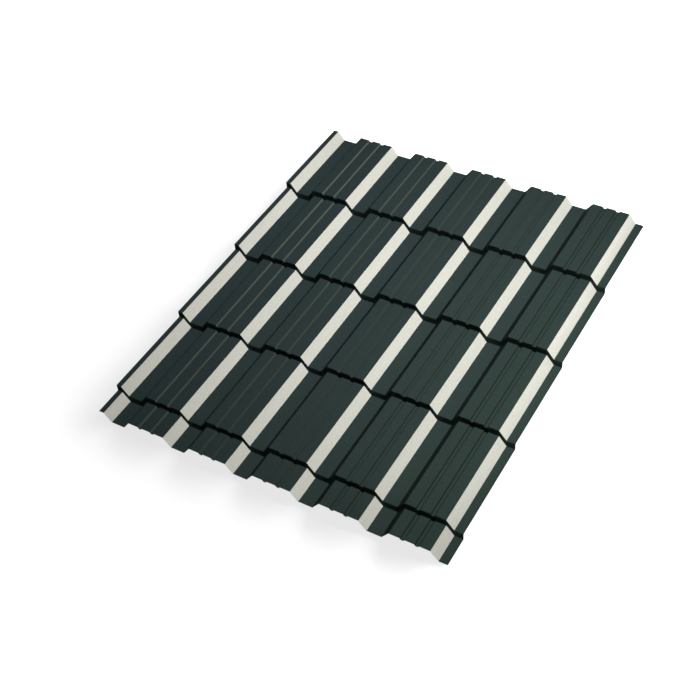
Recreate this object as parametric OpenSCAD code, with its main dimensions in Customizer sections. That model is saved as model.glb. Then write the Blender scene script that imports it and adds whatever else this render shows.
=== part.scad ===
// Tile-effect metal roofing sheet: one pressed steel sheet with angular waves across it
// and a pressed step at the lower end of each course of tiles.
// +X runs across the waves, to the right as seen from the eave. +Y runs up the roof.
// The origin is at the middle of the underside of the sheet as it lies on a flat surface.

/* [Sheet] */
// Thickness of the coated steel
sheet_t = 0.5; // [0.4:0.05:1]
// Number of whole waves across the sheet
waves = 5; // [2:1:6]
// Distance from one wave to the next
pitch = 233.5; // [210:0.5:260]
// Height of the crests over the valleys
wave_h = 33; // [24:1:45]
// Width of the flat floor of each valley
valley_w = 49.5; // [30:0.5:60]
// Run of the flank that falls to the right
fall_run = 24.7; // [12:0.1:32]
// Run of the flank that rises to the right
rise_run = 24.7; // [12:0.1:32]
// Width of the part crest along the left edge
left_flange = 18.3; // [10:0.1:40]
// Width of the part valley along the right edge
right_flange = 29.5; // [15:0.5:45]
// Radius of the folds, on the upper face
fold_r = 3; // [1:0.5:5]

/* [Stiffening grooves] */
// Number of grooves in each crest
grooves = 2; // [0:1:2]
// Distance between the middles of neighbouring grooves
groove_pitch = 47; // [30:1:50]
// Width of a groove at the crest
groove_w = 18; // [12:1:24]
// Width of the floor of a groove
groove_floor = 6; // [2:1:10]
// Depth of a groove below the crest
groove_d = 8; // [3:0.5:10]

/* [Courses] */
// Number of pressed steps
steps = 4; // [1:1:5]
// Length of a whole course, along its slope
course_l = 349.2; // [250:0.2:450]
// Height of a step, square to the course
step_h = 24; // [10:1:35]
// Length of the part course below the first step
eave_l = 99.5; // [40:0.5:200]
// Length of the top course, above the last step
top_l = 349; // [100:1:349]

/* [Hidden] */
sheet_colour = [0.17, 0.23, 0.23];
// Flat facets in each fold
fold_steps = 3;
crest_w = pitch - valley_w - fall_run - rise_run;
sheet_w = left_flange + waves * pitch + fall_run + right_flange;
// Angle of each course to the plane that the sheet lies on
course_tilt = atan(step_h / course_l);
// The sheet's extent in Y and its lowest point, once it is turned by that angle
low_y = -eave_l * cos(course_tilt) - sheet_t * sin(course_tilt);
top_y = ((steps - 1) * course_l + top_l) * cos(course_tilt)
    + (steps * step_h + wave_h) * sin(course_tilt);
// A top course that is longer than the others dips under their lowest lines
low_z = min(0, (course_l - top_l) * sin(course_tilt))
    - sheet_t * (sin(course_tilt) + cos(course_tilt));

function unit(v) = v / norm(v);

// The corners of the grooves in a crest that starts at x, from left to right
function groove_corners(x) = [
    for (i = [0:1:grooves - 1])
        let (middle = x + crest_w / 2 + (i - (grooves - 1) / 2) * groove_pitch)
        each [
            [middle - groove_w / 2, wave_h],
            [middle - groove_floor / 2, wave_h - groove_d],
            [middle + groove_floor / 2, wave_h - groove_d],
            [middle + groove_w / 2, wave_h]
        ]
];

// A fold of radius r at corner b, between corners a and c, as a row of points
function fold(a, b, c, r) =
    let (
        back = unit(a - b),
        on = unit(c - b),
        turn = acos(-back * on),
        side = sign(back.x * on.y - back.y * on.x),
        first = b + back * r * tan(turn / 2),
        centre = first + side * r * [-back.y, back.x],
        spoke = first - centre
    )
    [
        for (i = [0:1:fold_steps])
            let (angle = -side * turn * i / fold_steps)
            centre + [
                spoke.x * cos(angle) - spoke.y * sin(angle),
                spoke.x * sin(angle) + spoke.y * cos(angle)
            ]
    ];

// The upper face of one wave, from its falling flank to the end of its crest
function wave_line(x) =
    let (
        foot = x + fall_run,
        rise = foot + valley_w,
        crest = rise + rise_run,
        a = [x, wave_h],
        b = [foot, 0],
        c = [rise, 0],
        d = [crest, wave_h]
    )
    [
        each fold([x - left_flange, wave_h], a, b, fold_r),
        each fold(a, b, c, fold_r),
        each fold(b, c, d, fold_r),
        each fold(c, d, [crest + fold_r, wave_h], fold_r),
        each groove_corners(crest)
    ];

// The upper face of the whole section, from the left edge to the right edge
function section_line() =
    let (
        last = left_flange + waves * pitch,
        foot = last + fall_run
    )
    [
        [0, wave_h],
        for (i = [0:1:waves - 1]) each wave_line(left_flange + i * pitch),
        each fold([last - left_flange, wave_h], [last, wave_h], [foot, 0], fold_r),
        each fold([last, wave_h], [foot, 0], [sheet_w, 0], fold_r),
        [sheet_w, 0]
    ];

// A line moved down by the depth d, square to itself
function below(line, d) = [
    for (i = [0:1:len(line) - 1])
        let (
            before = unit(line[i] - line[max(i - 1, 0)] + (i == 0 ? [1, 0] : [0, 0])),
            after = unit(line[min(i + 1, len(line) - 1)] - line[i]
                + (i == len(line) - 1 ? [1, 0] : [0, 0])),
            mitre = unit(before + after)
        )
        line[i] + [mitre.y, -mitre.x] * d / (mitre * before)
];

function raised(line, h) = [for (p = line) p + [0, h]];

function reversed(line) = [for (i = [len(line) - 1:-1:0]) line[i]];

// Turns a section in X and Y into one in X and Z, pushed up the roof from y = 0
module along_roof(length) {
    translate([0, length, 0])
        rotate([90, 0, 0])
            linear_extrude(height = length)
                children();
}

// One flat course of tiles, with its lower end at y = 0
module course(length) {
    top = section_line();
    along_roof(length)
        polygon(concat(top, reversed(below(top, sheet_t))));
}

// The upright face of a step, which runs down from its course to the one below
module riser() {
    middle = below(section_line(), sheet_t / 2);
    along_roof(sheet_t)
        polygon(concat(middle, reversed(raised(middle, -step_h))));
}

module sheet() {
    color(sheet_colour)
        translate([-sheet_w / 2, -(low_y + top_y) / 2, -low_z])
            rotate([-course_tilt, 0, 0])
                union() {
                    translate([0, -eave_l, 0])
                        course(eave_l + sheet_t);
                    for (i = [1:1:steps])
                        translate([0, (i - 1) * course_l, i * step_h]) {
                            riser();
                            course(i == steps ? top_l : course_l + sheet_t);
                        }
                }
}

sheet();
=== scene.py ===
"""Looks of a tile-effect metal roofing sheet: its rounded folds, its coating and the studio."""
import math

import bpy
from mathutils import Matrix, Vector


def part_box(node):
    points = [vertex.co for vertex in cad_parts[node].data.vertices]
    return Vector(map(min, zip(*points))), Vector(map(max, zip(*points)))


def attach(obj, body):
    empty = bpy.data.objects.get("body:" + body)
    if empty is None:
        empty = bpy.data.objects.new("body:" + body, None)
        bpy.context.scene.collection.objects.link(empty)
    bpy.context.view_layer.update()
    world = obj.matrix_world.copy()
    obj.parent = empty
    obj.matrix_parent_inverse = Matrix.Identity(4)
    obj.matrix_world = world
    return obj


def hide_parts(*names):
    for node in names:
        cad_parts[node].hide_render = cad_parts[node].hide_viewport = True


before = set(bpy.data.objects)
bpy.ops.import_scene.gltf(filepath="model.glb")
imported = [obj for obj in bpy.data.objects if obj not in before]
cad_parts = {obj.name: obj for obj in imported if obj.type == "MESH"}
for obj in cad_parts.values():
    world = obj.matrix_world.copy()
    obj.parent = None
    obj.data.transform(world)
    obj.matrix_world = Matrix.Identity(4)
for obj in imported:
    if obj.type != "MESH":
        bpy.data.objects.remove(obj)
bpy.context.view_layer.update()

# Driving dimensions of the sheet, in metres
SHEET_T = 0.0005
WAVES = 5
PITCH = 0.2335
WAVE_H = 0.033
VALLEY_W = 0.0495
FLANK_RUN = 0.0247
LEFT_FLANGE = 0.0183
RIGHT_FLANGE = 0.0295
FOLD_R = 0.003
GROOVE_PITCH = 0.047
GROOVE_W = 0.0156
GROOVE_FLOOR = 0.0088
GROOVE_D = 0.0060
GROOVE_FOLD_R = 0.0008
STEPS = 4
COURSE_L = 0.3492
STEP_H = 0.024
EAVE_L = 0.0995
TOP_L = 0.349
STEP_FOLD_R = 0.0022

# Facets in one fold, and the longest facet along a course
FOLD_FACETS = 6
COURSE_FACET_L = 0.05

# Worked out from the dimensions above
CREST_W = PITCH - VALLEY_W - 2 * FLANK_RUN
FLANK_ANGLE = math.atan2(WAVE_H, FLANK_RUN)
WALL_ANGLE = math.atan2(GROOVE_D, (GROOVE_W - GROOVE_FLOOR) / 2)
COURSE_TILT = math.atan2(STEP_H, COURSE_L)

# Camera
CAMERA_PLACE = Vector((1.5795, -2.3187, 3.0668))
CAMERA_AIM = Vector((-0.0330, -0.1649, 0.0))
CAMERA_ROLL = math.radians(-9.45)
CAMERA_LENS = 64.2
SENSOR_W = 36.0
CAMERA_REACH = 50

# Finishes, as linear colours
GREEN = (0.0305, 0.0458, 0.0462, 1)
# Painted light: the green the coating fades to at the right edge, lighter and greener where more
# light falls
GREEN_PAINTED_LIGHT_RIGHT = (0.0340, 0.0540, 0.0458, 1)
# Painted highlight: cream on the falling flanks, which face the light, over the dark green coating
FLANK_HIGHLIGHT_PAINT = (0.560, 0.559, 0.500, 1)
# Painted highlight on the falling groove walls: olive at the left edge, fading to the darker paint
# below towards the right edge
GROOVE_HIGHLIGHT_PAINT = (0.075, 0.090, 0.073, 1)
GROOVE_HIGHLIGHT_RIGHT_PAINT = (0.0163, 0.0238, 0.0164, 1)
GREY_BACK = (0.30, 0.31, 0.30, 1)
STEEL = (0.52, 0.53, 0.54, 1)

# Each finish: paint, size of its grain, strength of grain and of clouds, roughness, bump, specular
GREEN_FINISH = (GREEN, 0.006, 0.40, 0.12, 0.6, 0.25, 0.002)
FLANK_HIGHLIGHT_FINISH = (FLANK_HIGHLIGHT_PAINT, 0.006, 0.36, 0.06, 0.6, 0.3, 0.002)
GROOVE_HIGHLIGHT_FINISH = (GROOVE_HIGHLIGHT_PAINT, 0.004, 0.15, 0.10, 0.6, 0.25, 0.002)
BACK_FINISH = (GREY_BACK, 0.005, 0.12, 0.10, 0.6, 0.2, 0.3)
STEEL_FINISH = (STEEL, 0.002, 0.3, 0.1, 0.4, 0.2, 0.5)

# The coatings' clouds and the roller's lines, which run along the coil
CLOUDS_PER_METRE = 5.0
LINES_PER_METRE = (260.0, 2.0, 40.0)
LINE_STRENGTH = 0.06
CLOUD_ROUGHNESS = 0.12
BUMP_HEIGHT = 0.0002

# Painted light: the green grows lighter and greener, and the groove walls' painted highlight fades,
# from the left edge to the right edge, this way and between these places
FADE_WAY = (1.0, -0.2, 0.0)
FADE_FROM = -0.55
FADE_TO = 0.59
GREEN_PAINTED_LIGHT_POWER = 0.4
GROOVE_HIGHLIGHT_FADE_POWER = 2.0

# Studio. The floor glows by FLOOR_GLOW up to GLOW_FROM metres from its middle, and by 1 past GLOW_TO
WHITE = (1, 1, 1, 1)
FLOOR_W = 14.0
FLOOR_PAINT = (0.12, 0.12, 0.12, 1)
FLOOR_GLOW = 0.70
GLOW_FROM = 0.9
GLOW_TO = 1.8
# Each softbox: place, aim, width, height, power in watts, spread of its grid
KEY_SOFTBOX = ((1.969, 0.583, 2.209), (-0.715, 0.600, 0), 0.36, 0.36, 20.2, math.radians(76.8))
EAVE_SOFTBOX = ((2.050, 0.108, 2.188), (0.331, -0.578, 0), 0.54, 0.54, 5.30, math.radians(60.9))
FLOOR_SOFTBOX = ((1.4, 1.5, 0.64), (0.0, -0.75, 0), 4.8, 1.0, 1250, math.pi)
WORLD_FILL = 0.026


def make_camera():
    """The camera at the photograph's viewing angle."""
    back = (CAMERA_PLACE - CAMERA_AIM).normalized()
    level = Vector((0, 0, 1)).cross(back).normalized()
    up = back.cross(level)
    right = level * math.cos(CAMERA_ROLL) + up * math.sin(CAMERA_ROLL)
    up = back.cross(right)
    data = bpy.data.cameras.new("camera")
    data.sensor_width = SENSOR_W
    data.lens = CAMERA_LENS
    data.clip_end = CAMERA_REACH
    camera = bpy.data.objects.new("camera", data)
    turn = Matrix((right, up, back)).transposed().to_4x4()
    camera.matrix_world = Matrix.Translation(CAMERA_PLACE) @ turn
    bpy.context.collection.objects.link(camera)
    bpy.context.scene.camera = camera


def rounded(corners, facets):
    """A line through corners (a, b, radius) with each fold as an arc.

    Gives points ((a, b), (direction in a, direction in b))."""
    line = []
    for i, (a, b, radius) in enumerate(corners):
        here = Vector((a, b))
        if i == 0:
            onward = (Vector(corners[1][:2]) - here).normalized()
            line.append((here, onward))
            continue
        came = (here - Vector(corners[i - 1][:2])).normalized()
        if i == len(corners) - 1:
            line.append((here, came))
            continue
        onward = (Vector(corners[i + 1][:2]) - here).normalized()
        turn = math.atan2(came.x * onward.y - came.y * onward.x, came.dot(onward))
        side = math.copysign(1, turn)
        first = here - came * radius * math.tan(abs(turn) / 2)
        centre = first + side * radius * Vector((-came.y, came.x))
        for k in range(facets + 1):
            angle = turn * k / facets
            way = Vector((
                came.x * math.cos(angle) - came.y * math.sin(angle),
                came.x * math.sin(angle) + came.y * math.cos(angle)))
            line.append((centre - side * radius * Vector((-way.y, way.x)), way))
    return line


def wave_corners():
    """The folds of the section, from the left edge to the right edge."""
    corners = [(0, WAVE_H, 0)]
    for i in range(WAVES + 1):
        x = LEFT_FLANGE + i * PITCH
        corners.append((x, WAVE_H, FOLD_R))
        corners.append((x + FLANK_RUN, 0, FOLD_R))
        if i == WAVES:
            corners.append((x + FLANK_RUN + RIGHT_FLANGE, 0, 0))
            break
        rise = x + FLANK_RUN + VALLEY_W
        crest = rise + FLANK_RUN
        corners.append((rise, 0, FOLD_R))
        corners.append((crest, WAVE_H, FOLD_R))
        for side in (-0.5, 0.5):
            middle = crest + CREST_W / 2 + side * GROOVE_PITCH
            corners.append((middle - GROOVE_W / 2, WAVE_H, GROOVE_FOLD_R))
            corners.append((middle - GROOVE_FLOOR / 2, WAVE_H - GROOVE_D, GROOVE_FOLD_R))
            corners.append((middle + GROOVE_FLOOR / 2, WAVE_H - GROOVE_D, GROOVE_FOLD_R))
            corners.append((middle + GROOVE_W / 2, WAVE_H, GROOVE_FOLD_R))
    return corners


def course_corners():
    """The folds along the roof, from the eave to the top edge, with two at each step."""
    corners = [(-EAVE_L, 0, 0)]
    for k in range(STEPS):
        corners.append((k * COURSE_L, k * STEP_H, STEP_FOLD_R))
        corners.append((k * COURSE_L, (k + 1) * STEP_H, STEP_FOLD_R))
    corners.append(((STEPS - 1) * COURSE_L + TOP_L, STEPS * STEP_H, 0))
    return corners


def divided(line, longest):
    """The line with its long straight stretches cut into even facets."""
    out = [line[0]]
    for (start, _), (stop, way) in zip(line, line[1:]):
        pieces = max(1, math.ceil((stop - start).length / longest))
        for k in range(1, pieces):
            out.append((start.lerp(stop, k / pieces), way))
        out.append((stop, way))
    return out


def to_roof(point, low, high):
    """A point of the staircase frame, turned and moved to where the node lies."""
    turn = Matrix.Rotation(-COURSE_TILT, 3, "X")
    top = turn @ Vector((0, (STEPS - 1) * COURSE_L + TOP_L, STEPS * STEP_H + WAVE_H))
    lowest = -SHEET_T * (math.sin(COURSE_TILT) + math.cos(COURSE_TILT))
    return turn @ point + Vector((low.x, high.y - top.y, low.z - lowest))


# Numbers of the materials on the sheet's faces
GREEN_SIDE, FLANK_HIGHLIGHT_SIDE, GROOVE_HIGHLIGHT_SIDE, BACK_SIDE, EDGE_SIDE = range(5)

# A falling flank carries the painted highlight, in cream, from this share of its full slope on
FLANK_HIGHLIGHT_FROM = 0.5
# A falling groove wall carries a fainter painted highlight, in olive, from this share of its full
# slope on
GROOVE_HIGHLIGHT_FROM = 0.9
# A stretch along the roof is the front of a step where its direction rises by more than this
STEP_FRONT_RISE = 0.7


def is_big_flank(start, stop):
    """Whether the stretch from start to stop is on a wave's falling flank, and not in a groove."""
    middle = (start + stop) / 2
    for i in range(WAVES + 1):
        x = LEFT_FLANGE + i * PITCH
        if x - FOLD_R < middle < x + FLANK_RUN + FOLD_R:
            return True
    return False


def face_finish(start, stop, is_step_front):
    """The finish of the top face on the stretch of the section from start to stop."""
    if is_step_front:
        return GREEN_SIDE
    falls = math.atan2(start.y - stop.y, stop.x - start.x)
    # Falling flanks get the painted highlight
    if is_big_flank(start.x, stop.x) and falls > FLANK_ANGLE * FLANK_HIGHLIGHT_FROM:
        return FLANK_HIGHLIGHT_SIDE
    # Falling groove walls get the fainter painted highlight
    if falls > WALL_ANGLE * GROOVE_HIGHLIGHT_FROM:
        return GROOVE_HIGHLIGHT_SIDE
    return GREEN_SIDE


def skins(section, courses):
    """Points and normals of the top skin, followed by those of the back skin."""
    low, high = (Vector(corner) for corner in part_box("sheet"))
    turn = Matrix.Rotation(-COURSE_TILT, 3, "X")
    points, normals = [], []
    for depth in (0, SHEET_T):
        for (y, rise), way_up in courses:
            for (x, z), way in section:
                normal = Vector((-way.y * way_up.x, -way.x * way_up.y, way.x * way_up.x))
                normal.normalize()
                point = Vector((x, y, z + rise)) - normal * depth
                points.append(to_roof(point, low, high))
                normals.append(turn @ normal)
    return points, normals


def cut_edges(across, along):
    """The faces of the cut edges, which join the two skins: left, right, eave and top."""
    back = across * along
    rings = []
    for v in range(along - 1):
        left = (v * across, (v + 1) * across)
        right = (v * across + across - 1, (v + 1) * across + across - 1)
        rings.append([left[0], left[1], left[1] + back, left[0] + back])
        rings.append([right[1], right[0], right[0] + back, right[1] + back])
    last = (along - 1) * across
    for u in range(across - 1):
        rings.append([u + 1, u, u + back, u + 1 + back])
        rings.append([last + u, last + u + 1, last + u + 1 + back, last + u + back])
    return rings


def make_sheet(materials):
    """The pressed sheet as one closed mesh: top face, back face and cut edges."""
    section = rounded(wave_corners(), FOLD_FACETS)
    courses = divided(rounded(course_corners(), FOLD_FACETS), COURSE_FACET_L)
    points, normals = skins(section, courses)
    across, along = len(section), len(courses)
    back = across * along
    faces, finishes, corner_normals = [], [], []

    def add_face(ring, finish, own_normals):
        faces.append(ring)
        finishes.append(finish)
        corner_normals.extend(own_normals)

    for v in range(along - 1):
        is_step_front = min(courses[v][1].y, courses[v + 1][1].y) > STEP_FRONT_RISE
        for u in range(across - 1):
            corner = v * across + u
            top = [corner, corner + 1, corner + across + 1, corner + across]
            finish = face_finish(section[u][0], section[u + 1][0], is_step_front)
            add_face(top, finish, [normals[i] for i in top])
            under = [i + back for i in reversed(top)]
            add_face(under, BACK_SIDE, [-normals[i] for i in under])
    for ring in cut_edges(across, along):
        a, b, c = (points[i] for i in ring[:3])
        add_face(ring, EDGE_SIDE, [(b - a).cross(c - b).normalized()] * 4)

    mesh = bpy.data.meshes.new("roof_sheet")
    mesh.from_pydata(points, [], faces)
    for material in materials:
        mesh.materials.append(material)
    mesh.polygons.foreach_set("material_index", finishes)
    mesh.polygons.foreach_set("use_smooth", [True] * len(faces))
    mesh.normals_split_custom_set(corner_normals)
    mesh.update()
    piece = bpy.data.objects.new("roof_sheet", mesh)
    bpy.context.collection.objects.link(piece)
    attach(piece, "root")
    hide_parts("sheet")


def shader_group(name, inputs, outputs):
    """A shader node group with sockets (name, kind, default) and (name, kind)."""
    group = bpy.data.node_groups.new(name, "ShaderNodeTree")
    new_socket = group.interface.new_socket
    for label, kind, default in inputs:
        socket = new_socket(name=label, in_out="INPUT", socket_type="NodeSocket" + kind)
        socket.default_value = default
    for label, kind in outputs:
        new_socket(name=label, in_out="OUTPUT", socket_type="NodeSocket" + kind)
    return group, group.nodes.new("NodeGroupInput"), group.nodes.new("NodeGroupOutput")


def add(tree, kind, settings=None, **inputs):
    """A node with its settings and its inputs, which are values or other nodes' outputs.

    An input is given by its name, or by its number after an i, such as i0."""
    node = tree.nodes.new(kind)
    for name, value in (settings or {}).items():
        setattr(node, name, value)
    for name, value in inputs.items():
        by_number = name[0] == "i" and name[1:].isdigit()
        socket = node.inputs[int(name[1:]) if by_number else name]
        if isinstance(value, bpy.types.NodeSocket):
            tree.links.new(value, socket)
        else:
            socket.default_value = value
    return node


def maths(tree, operation, first, second):
    """The output of a Math node."""
    return add(tree, "ShaderNodeMath", {"operation": operation}, i0=first, i1=second).outputs[0]


def noise(tree, place, scale, **settings):
    """The value of a noise texture at a place."""
    return add(tree, "ShaderNodeTexNoise", None, Vector=place, Scale=scale, **settings).outputs[0]


def centred(tree, value, strength):
    """A value between 0 and 1, moved to lie about 0 and scaled by its strength."""
    return maths(tree, "MULTIPLY", maths(tree, "SUBTRACT", value, 0.5), strength)


def coating_group():
    """Baked paint: fine grain, faint clouds of colour and the roller's faint lines along the coil."""
    group, given, out = shader_group(
        "coating grain",
        [("Paint", "Color", (0.5, 0.5, 0.5, 1)), ("Grain size", "Float", 0.004),
         ("Grain", "Float", 0.1), ("Clouds", "Float", 0.08), ("Roughness", "Float", 0.5)],
        [("Colour", "Color"), ("Roughness", "Float"), ("Height", "Float")])
    place = add(group, "ShaderNodeTexCoord").outputs["Object"]
    grains_per_metre = maths(group, "DIVIDE", 1.0, given.outputs["Grain size"])
    grain = noise(group, place, grains_per_metre, Detail=3.0, Roughness=0.6)
    clouds = noise(group, place, CLOUDS_PER_METRE, Detail=2.0)
    along_coil = add(group, "ShaderNodeMapping", None, Vector=place, Scale=LINES_PER_METRE)
    lines = noise(group, along_coil.outputs[0], 1.0, Detail=1.0)

    tone = maths(group, "ADD", centred(group, grain, given.outputs["Grain"]),
                 centred(group, clouds, given.outputs["Clouds"]))
    tone = maths(group, "ADD", tone, centred(group, lines, LINE_STRENGTH))
    tone = maths(group, "ADD", tone, 1.0)
    colour = add(group, "ShaderNodeVectorMath", {"operation": "SCALE"},
                 i0=given.outputs["Paint"], Scale=tone).outputs[0]
    roughness = maths(group, "ADD", given.outputs["Roughness"],
                      centred(group, clouds, CLOUD_ROUGHNESS))
    group.links.new(colour, out.inputs["Colour"])
    group.links.new(roughness, out.inputs["Roughness"])
    group.links.new(grain, out.inputs["Height"])
    return group


def new_material(name):
    """An empty node material and its output."""
    material = bpy.data.materials.new(name)
    material.use_nodes = True
    tree = material.node_tree
    tree.nodes.clear()
    return material, tree, tree.nodes.new("ShaderNodeOutputMaterial")


def coated(name, grain_group, finish):
    """A coating with its grain."""
    paint, grain_size, grain, clouds, roughness, bump, specular = finish
    material, tree, out = new_material(name)
    coat = add(tree, "ShaderNodeGroup", {"node_tree": grain_group}, Paint=paint, Grain=grain,
               Clouds=clouds, Roughness=roughness)
    coat.inputs["Grain size"].default_value = grain_size
    bumps = add(tree, "ShaderNodeBump", None, Height=coat.outputs["Height"], Strength=bump,
                Distance=BUMP_HEIGHT)
    shader = add(tree, "ShaderNodeBsdfPrincipled", None, Roughness=coat.outputs["Roughness"],
                 Normal=bumps.outputs[0])
    shader.inputs["Specular IOR Level"].default_value = specular
    tree.links.new(coat.outputs["Colour"], shader.inputs["Base Color"])
    tree.links.new(shader.outputs[0], out.inputs["Surface"])
    return material


def paint_light_across(material, far_paint, power):
    """Painted light: lets a coating's paint fade to another paint, from the left edge to the right
    edge, for light that falls unevenly across the sheet.
    """
    tree = material.node_tree
    coat = next(node for node in tree.nodes if node.type == "GROUP")
    near_paint = tuple(coat.inputs["Paint"].default_value)
    place = add(tree, "ShaderNodeTexCoord").outputs["Object"]
    across = add(tree, "ShaderNodeVectorMath", {"operation": "DOT_PRODUCT"}, i0=place, i1=FADE_WAY)
    left = add(tree, "ShaderNodeMapRange", None, Value=across.outputs["Value"])
    left.inputs["From Min"].default_value = FADE_TO
    left.inputs["From Max"].default_value = FADE_FROM
    near_share = maths(tree, "POWER", left.outputs[0], power)
    # The colour sockets of a Mix node are inputs 6 and 7 and output 2
    blend = add(tree, "ShaderNodeMix", {"data_type": "RGBA"}, Factor=near_share, i6=far_paint,
                i7=near_paint)
    tree.links.new(blend.outputs[2], coat.inputs["Paint"])


def make_materials():
    """The finishes of the sheet, in the order of its face numbers."""
    grain_group = coating_group()
    green = coated("green coating", grain_group, GREEN_FINISH)
    # painted light: the green grows lighter and greener towards the right edge
    paint_light_across(green, GREEN_PAINTED_LIGHT_RIGHT, GREEN_PAINTED_LIGHT_POWER)
    # painted highlight on the falling flanks
    pale = coated("flank coating with painted highlight", grain_group, FLANK_HIGHLIGHT_FINISH)
    # painted highlight on the falling groove walls, fading towards the right edge
    groove = coated("groove wall with painted highlight", grain_group, GROOVE_HIGHLIGHT_FINISH)
    paint_light_across(groove, GROOVE_HIGHLIGHT_RIGHT_PAINT, GROOVE_HIGHLIGHT_FADE_POWER)
    back = coated("back coat", grain_group, BACK_FINISH)
    edge = coated("cut steel edge", grain_group, STEEL_FINISH)
    return [green, pale, groove, back, edge]


def seen_directly(tree):
    """1 where the camera sees a surface, also in a reflection or through glass, and 0 elsewhere."""
    paths = add(tree, "ShaderNodeLightPath").outputs
    seen = maths(tree, "ADD", paths["Is Camera Ray"], paths["Is Glossy Ray"])
    last = add(tree, "ShaderNodeMath", {"operation": "ADD", "use_clamp": True}, i0=seen,
               i1=paths["Is Transmission Ray"])
    return last.outputs[0]


def make_floor():
    """A pale floor that shows white to the camera and keeps the sheet's shadow."""
    mesh = bpy.data.meshes.new("floor")
    half = FLOOR_W / 2
    corners = [(-half, -half, 0), (half, -half, 0), (half, half, 0), (-half, half, 0)]
    mesh.from_pydata(corners, [], [(0, 1, 2, 3)])
    floor = bpy.data.objects.new("floor", mesh)
    bpy.context.collection.objects.link(floor)
    material, tree, out = new_material("pale floor")
    place = add(tree, "ShaderNodeTexCoord").outputs["Object"]
    far = add(tree, "ShaderNodeVectorMath", {"operation": "LENGTH"}, i0=place).outputs["Value"]
    glow = add(tree, "ShaderNodeMapRange", None, Value=far)
    glow.inputs["From Min"].default_value = GLOW_FROM
    glow.inputs["From Max"].default_value = GLOW_TO
    glow.inputs["To Min"].default_value = FLOOR_GLOW
    glow.inputs["To Max"].default_value = 1.0
    glow = maths(tree, "MULTIPLY", seen_directly(tree), glow.outputs[0])
    paint = add(tree, "ShaderNodeBsdfDiffuse", None, Color=FLOOR_PAINT)
    light = add(tree, "ShaderNodeEmission", None, Color=WHITE, Strength=glow)
    both = add(tree, "ShaderNodeAddShader", None, i0=paint.outputs[0], i1=light.outputs[0])
    tree.links.new(both.outputs[0], out.inputs["Surface"])
    mesh.materials.append(material)
    return floor


def softbox(name, place, aim, width, height, power, spread):
    """A softbox that looks from its place to its aim."""
    data = bpy.data.lights.new(name, "AREA")
    data.energy = power
    data.shape = "RECTANGLE"
    data.size = width
    data.size_y = height
    data.spread = spread
    lamp = bpy.data.objects.new(name, data)
    lamp.location = place
    lamp.rotation_euler = (Vector(place) - Vector(aim)).to_track_quat("Z", "Y").to_euler()
    bpy.context.collection.objects.link(lamp)
    return lamp


def make_lights(floor):
    """Two softboxes on the right, which cast no shadows, and one that lights the floor alone."""
    for lamp in (softbox("key softbox", *KEY_SOFTBOX), softbox("eave softbox", *EAVE_SOFTBOX)):
        lamp.data.use_shadow = False
    lamp = softbox("floor softbox", *FLOOR_SOFTBOX)
    lit = bpy.data.collections.new("lit by the floor softbox")
    lit.objects.link(floor)
    lamp.light_linking.receiver_collection = lit


def make_surround():
    """A surround that shows white to the camera and lights the sheet dimly."""
    world = bpy.data.worlds.new("surround")
    bpy.context.scene.world = world
    world.use_nodes = True
    tree = world.node_tree
    tree.nodes.clear()
    out = tree.nodes.new("ShaderNodeOutputWorld")
    strength = add(tree, "ShaderNodeMapRange", None, Value=seen_directly(tree))
    strength.inputs["To Min"].default_value = WORLD_FILL
    strength.inputs["To Max"].default_value = 1.0
    sky = add(tree, "ShaderNodeBackground", None, Color=WHITE, Strength=strength.outputs[0])
    tree.links.new(sky.outputs[0], out.inputs["Surface"])


make_camera()
make_lights(make_floor())
make_surround()
make_sheet(make_materials())
bpy.context.scene.view_settings.view_transform = "Standard"
